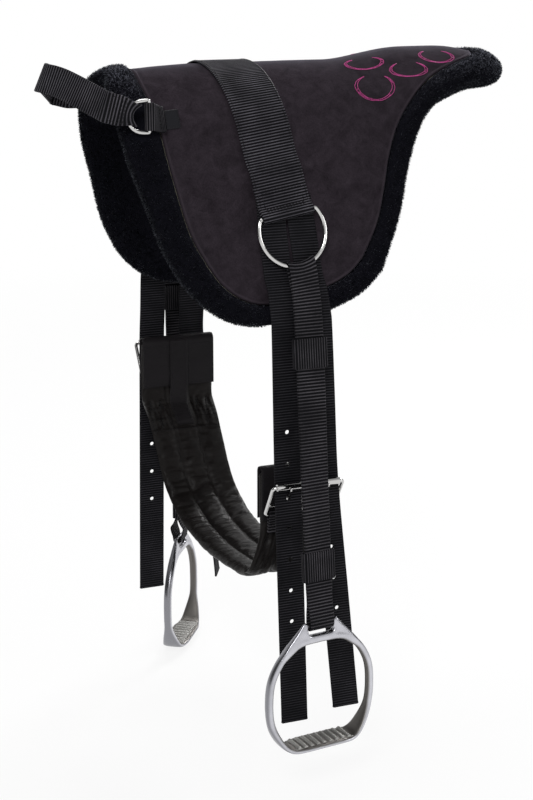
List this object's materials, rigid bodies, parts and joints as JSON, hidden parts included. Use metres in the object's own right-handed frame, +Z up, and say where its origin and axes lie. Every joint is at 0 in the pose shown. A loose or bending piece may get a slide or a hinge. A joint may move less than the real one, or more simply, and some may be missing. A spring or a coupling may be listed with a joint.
{
  "type": "bareback pad",
  "caption": "Suede bareback riding pad with plush lining, buckled girth, grab handle and metal stirrups on webbing straps.",
  "frame": {"origin": "middle of the pad's underside on the ridge, where it rests on the horse's back", "axes": "+X towards the horse's tail, -Y towards the horse's left, +Z up"},
  "size_m": [0.5476, 0.5264, 0.7871],
  "materials": {
    "suede": "matte",
    "plush": "matte",
    "foam": "matte",
    "webbing": "satin",
    "nylon": "satin",
    "label": "matte",
    "chrome": "polished",
    "aluminium": "polished"
  },
  "bodies": {
    "pad": {"buckle_tongue_left_front": "chrome", "buckle_tongue_left_rear": "chrome", "buckle_tongue_right_front": "chrome", "buckle_tongue_right_rear": "chrome", "fleece_lining": "plush", "foam_core": "foam", "front_label": "label", "front_ring_left": "chrome", "front_ring_right": "chrome", "front_ring_tab_left": "webbing", "front_ring_tab_right": "webbing", "girth_billet_left_front": "webbing", "girth_billet_left_rear": "webbing", "girth_billet_right_front": "webbing", "girth_billet_right_rear": "webbing", "girth_buckle_left_front": "chrome", "girth_buckle_left_rear": "chrome", "girth_buckle_right_front": "chrome", "girth_buckle_right_rear": "chrome", "girth_end_binding_left": "nylon", "girth_end_binding_right": "nylon", "girth_padding": "nylon", "girth_tab_left_front": "webbing", "girth_tab_left_rear": "webbing", "girth_tab_right_front": "webbing", "girth_tab_right_rear": "webbing", "over_band": "webbing", "suede_cover": "suede"},
    "big_ring_left": {"big_ring_left": "chrome"},
    "strap_left": {"stirrup_strap_left": "webbing", "upper_keeper_left": "webbing"},
    "sliding_keeper_left": {"lower_keeper_left": "webbing"},
    "stirrup_body_left": {"stirrup_left": "aluminium"},
    "big_ring_right": {"big_ring_right": "chrome"},
    "strap_right": {"stirrup_strap_right": "webbing", "upper_keeper_right": "webbing"},
    "sliding_keeper_right": {"lower_keeper_right": "webbing"},
    "stirrup_body_right": {"stirrup_right": "aluminium"},
    "roller_left_front": {"buckle_roller_left_front": "chrome"},
    "roller_left_rear": {"buckle_roller_left_rear": "chrome"},
    "roller_right_front": {"buckle_roller_right_front": "chrome"},
    "roller_right_rear": {"buckle_roller_right_rear": "chrome"},
    "handle": {"grab_handle": "webbing"}
  },
  "joints": [
    {"name": "big_ring_hinge_left", "type": "hinge", "parent": "pad", "child": "big_ring_left", "pos_m": [0.021, -0.12162, -0.12929], "axis": [-0.9865, -0.0452, -0.1575], "range_deg": [0, 100]},
    {"name": "strap_sway_left", "type": "hinge", "parent": "big_ring_left", "child": "strap_left", "pos_m": [0.02411, -0.12678, -0.1473], "axis": [0, 0.9613, -0.2756], "range_deg": [-15, 15]},
    {"name": "keeper_slide_left", "type": "slide", "parent": "strap_left", "child": "sliding_keeper_left", "axis": [-0.0243, -0.1736, -0.9845], "range_m": [-0.06, 0.003]},
    {"name": "stirrup_hinge_left", "type": "hinge", "parent": "strap_left", "child": "stirrup_body_left", "pos_m": [0.021, -0.21655, -0.561], "axis": [-0.9925, -0.1219, 0], "range_deg": [-4, 80]},
    {"name": "big_ring_hinge_right", "type": "hinge", "parent": "pad", "child": "big_ring_right", "pos_m": [-0.01, 0.12162, -0.12929], "axis": [0.9999, 0.0032, -0.011], "range_deg": [0, 100]},
    {"name": "strap_sway_right", "type": "hinge", "parent": "big_ring_right", "child": "strap_right", "pos_m": [-0.01022, 0.12685, -0.14755], "axis": [0, 0.9613, 0.2756], "range_deg": [-15, 15]},
    {"name": "keeper_slide_right", "type": "slide", "parent": "strap_right", "child": "sliding_keeper_right", "axis": [0.0591, 0.1819, -0.9815], "range_m": [-0.03, 0.003]},
    {"name": "stirrup_hinge_right", "type": "hinge", "parent": "strap_right", "child": "stirrup_body_right", "pos_m": [0.015, 0.22856, -0.61], "axis": [0.5736, 0.8192, 0], "range_deg": [-4, 80]},
    {"name": "roller_turn_left_front", "type": "hinge", "parent": "pad", "child": "roller_left_front", "pos_m": [0.006, -0.16536, -0.41878], "axis": [1, 0, 0], "continuous": true},
    {"name": "roller_turn_left_rear", "type": "hinge", "parent": "pad", "child": "roller_left_rear", "pos_m": [0.05, -0.16536, -0.41878], "axis": [1, 0, 0], "continuous": true},
    {"name": "roller_turn_right_front", "type": "hinge", "parent": "pad", "child": "roller_right_front", "pos_m": [-0.044, 0.1582, -0.32496], "axis": [1, 0, 0], "continuous": true},
    {"name": "roller_turn_right_rear", "type": "hinge", "parent": "pad", "child": "roller_right_rear", "pos_m": [0.008, 0.1582, -0.32496], "axis": [1, 0, 0], "continuous": true},
    {"name": "handle_hinge", "type": "hinge", "parent": "pad", "child": "handle", "pos_m": [-0.1295, 0, -0.02353], "axis": [0, 1, 0], "range_deg": [-35, 8]}
  ]
}
